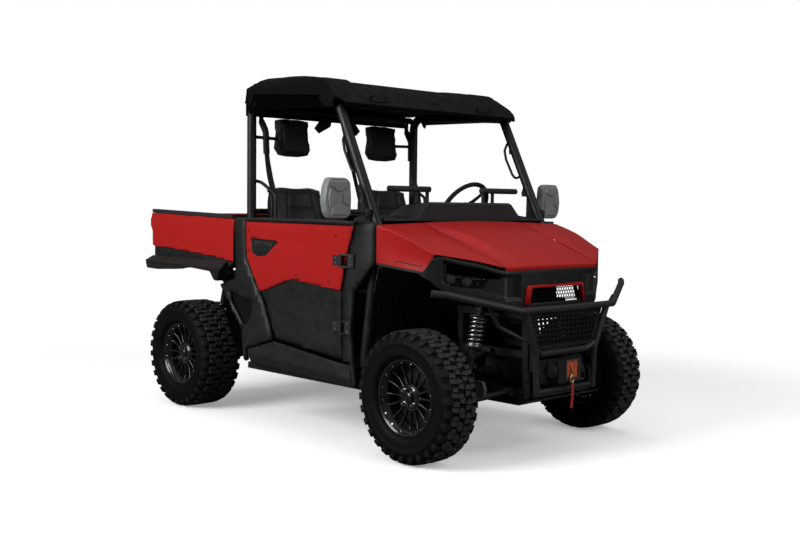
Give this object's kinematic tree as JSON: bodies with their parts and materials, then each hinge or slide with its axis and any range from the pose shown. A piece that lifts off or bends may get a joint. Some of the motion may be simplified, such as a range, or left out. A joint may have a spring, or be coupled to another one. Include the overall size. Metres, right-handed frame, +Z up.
{
  "type": "side-by-side utility vehicle",
  "caption": "Side-by-side utility vehicle with an open cab under a roof, half doors, a tilting load bed, a front bar with winch and steered front wheels",
  "frame": {"origin": "on the ground, below the middle of the wheelbase and of the width", "axes": "+X forward, +Y to the driver side (left), +Z up"},
  "size_m": [2.9, 1.874, 1.9869],
  "materials": {
    "frame_black": "satin black powder coat",
    "body_red": "gloss red moulded panel",
    "body_black": "grained black moulding",
    "roof_black": "satin black moulding",
    "cage_black": "satin black tube",
    "bare_alloy": "cast",
    "spring_steel": "bright coil",
    "shaft_steel": "dark",
    "tyre_rubber": "black rubber",
    "rim_black": "gloss black",
    "seat_cover": "grained black cover",
    "belt_web": "woven black",
    "lamp_lens": "smoked",
    "lamp_red": "red lens",
    "mesh_black": "black",
    "mirror_shell": "grey moulding",
    "battery_case": "plain"
  },
  "bodies": {
    "chassis": {"frame_rails": "frame_black", "front_subframe": "frame_black", "rear_subframe": "frame_black", "tow_receiver": "frame_black", "skid_plate": "body_black", "battery_pack": "battery_case", "rear_drive_unit": "bare_alloy", "front_differential": "bare_alloy", "drive_shafts": "shaft_steel", "front_arms": "frame_black", "rear_arms": "frame_black", "shocks": "spring_steel", "rear_uprights": "bare_alloy", "floor_tub": "body_black", "rocker_panels": "body_black", "rear_cab_panels": "body_black", "cowl_side_panels": "body_black", "front_fenders": "body_red", "nose_fascia": "body_black", "grille_bezel": "body_red", "grille_mesh": "mesh_black", "headlamps": "lamp_lens", "wheel_liners": "body_black", "bull_bar": "cage_black", "winch": "frame_black", "dashboard": "body_black", "steering_column": "shaft_steel", "pedals": "shaft_steel", "seat_cushions": "seat_cover", "seat_backs": "seat_cover", "headrests": "seat_cover", "seat_belts": "belt_web", "cab_bars": "cage_black", "cage_left": "cage_black", "cage_right": "cage_black", "cage_cross": "cage_black", "roof": "roof_black", "mirrors": "mirror_shell"},
    "hood": {"hood": "body_red"},
    "door_left": {"door_left_shell": "body_black", "door_left_skin": "body_red"},
    "door_right": {"door_right_shell": "body_black", "door_right_skin": "body_red"},
    "steering_wheel": {"steering_wheel": "body_black"},
    "steering_rack": {"tie_rods": "shaft_steel"},
    "knuckle_left": {"knuckle_left": "bare_alloy"},
    "knuckle_right": {"knuckle_right": "bare_alloy"},
    "cargo_bed": {"bed_box": "body_black", "bed_sides": "body_red", "rear_flares": "body_black", "tail_lamps": "lamp_red"},
    "tailgate": {"tailgate": "body_red"},
    "wheel_front_left": {"rim_front_left": "rim_black", "tyre_front_left": "tyre_rubber"},
    "wheel_front_right": {"rim_front_right": "rim_black", "tyre_front_right": "tyre_rubber"},
    "wheel_rear_left": {"rim_rear_left": "rim_black", "tyre_rear_left": "tyre_rubber"},
    "wheel_rear_right": {"rim_rear_right": "rim_black", "tyre_rear_right": "tyre_rubber"}
  },
  "joints": [
    {"name": "steer_left", "type": "hinge", "parent": "chassis", "child": "knuckle_left", "pos_m": [1.015, 0.56, 0.33], "axis": [0, 0, 1], "range_deg": [-30, 30]},
    {"name": "steer_right", "type": "hinge", "parent": "chassis", "child": "knuckle_right", "pos_m": [1.015, -0.56, 0.33], "axis": [0, 0, 1], "range_deg": [-30, 30]},
    {"name": "steering_turn", "type": "hinge", "parent": "chassis", "child": "steering_wheel", "pos_m": [0.33, 0.375, 1.245], "axis": [-0.848, 0, 0.5299], "range_deg": [-360, 360]},
    {"name": "rack_slide", "type": "slide", "parent": "chassis", "child": "steering_rack", "axis": [0, 1, 0], "range_m": [-0.064, 0.064]},
    {"name": "spin_front_left", "type": "hinge", "parent": "knuckle_left", "child": "wheel_front_left", "pos_m": [1.015, 0.6755, 0.33], "axis": [0, 1, 0], "continuous": true},
    {"name": "spin_front_right", "type": "hinge", "parent": "knuckle_right", "child": "wheel_front_right", "pos_m": [1.015, -0.6755, 0.33], "axis": [0, 1, 0], "continuous": true},
    {"name": "spin_rear_left", "type": "hinge", "parent": "chassis", "child": "wheel_rear_left", "pos_m": [-1.015, 0.647, 0.33], "axis": [0, 1, 0], "continuous": true},
    {"name": "spin_rear_right", "type": "hinge", "parent": "chassis", "child": "wheel_rear_right", "pos_m": [-1.015, -0.647, 0.33], "axis": [0, 1, 0], "continuous": true},
    {"name": "door_left_hinge", "type": "hinge", "parent": "chassis", "child": "door_left", "pos_m": [0.52, 0.751, 0.8], "axis": [0, 0, -1], "range_deg": [0, 65]},
    {"name": "door_right_hinge", "type": "hinge", "parent": "chassis", "child": "door_right", "pos_m": [0.52, -0.751, 0.8], "axis": [0, 0, 1], "range_deg": [0, 65]},
    {"name": "hood_lift", "type": "hinge", "parent": "chassis", "child": "hood", "pos_m": [0.785, 0, 1.148], "axis": [0, -1, 0], "range_deg": [0, 50]},
    {"name": "bed_tilt", "type": "hinge", "parent": "chassis", "child": "cargo_bed", "pos_m": [-1.3, 0, 0.868], "axis": [0, -1, 0], "range_deg": [0, 42]},
    {"name": "tailgate_drop", "type": "hinge", "parent": "cargo_bed", "child": "tailgate", "pos_m": [-1.404, 0, 0.8945], "axis": [0, -1, 0], "range_deg": [0, 90]}
  ],
  "couplings": [
    {"joint": "steer_right", "follows": "steer_left", "ratio": 1},
    {"joint": "steering_turn", "follows": "steer_left", "ratio": 12},
    {"joint": "rack_slide", "follows": "steer_left", "m_per_rad": -0.12}
  ]
}
